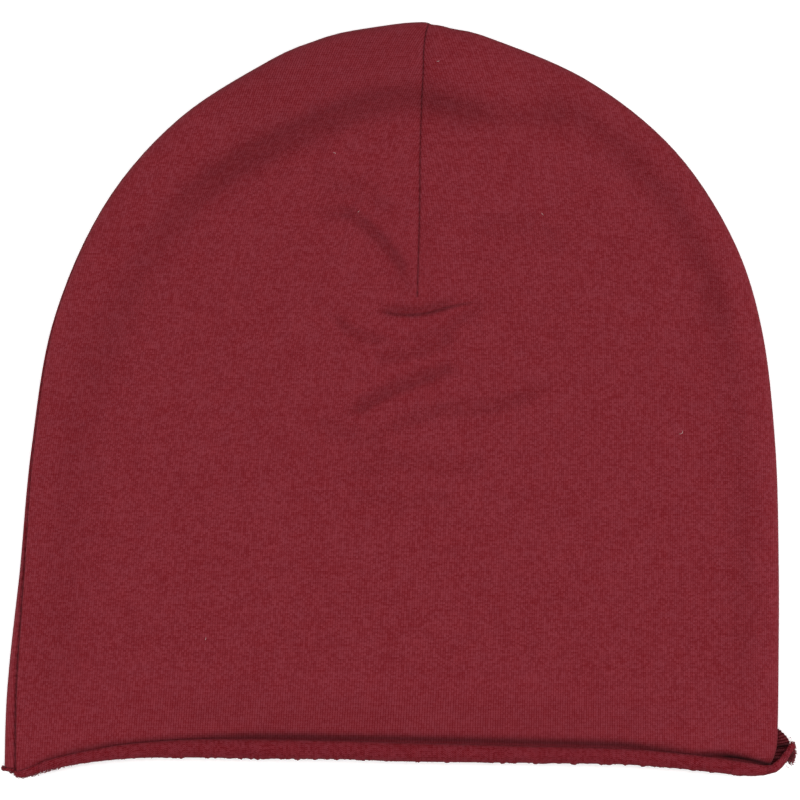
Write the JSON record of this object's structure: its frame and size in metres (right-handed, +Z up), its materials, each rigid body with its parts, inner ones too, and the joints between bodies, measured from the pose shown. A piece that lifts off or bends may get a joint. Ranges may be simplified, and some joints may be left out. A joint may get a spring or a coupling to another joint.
{
  "type": "beanie",
  "caption": "Fine jersey beanie lying flat: two arched panels sewn round the arch, a dart in each crown and a raw hem rolled outward, open at the mouth for a head.",
  "frame": {"origin": "under the middle of the lying beanie's box, on the surface it lies on", "axes": "+X across the hat to the right as the front panel is looked at from above, +Y from the mouth to the crown, +Z up from the table through the front panel"},
  "size_m": [0.2389, 0.2257, 0.0146],
  "materials": {
    "jersey": "dark red fine single jersey, matt",
    "overlock_thread": "dark red overlocked edge, matt"
  },
  "bodies": {
    "root": {"front_panel": "jersey", "back_panel": "jersey", "side_seam": "overlock_thread", "front_dart_seam": "overlock_thread", "back_dart_seam": "overlock_thread"}
  },
  "joints": []
}
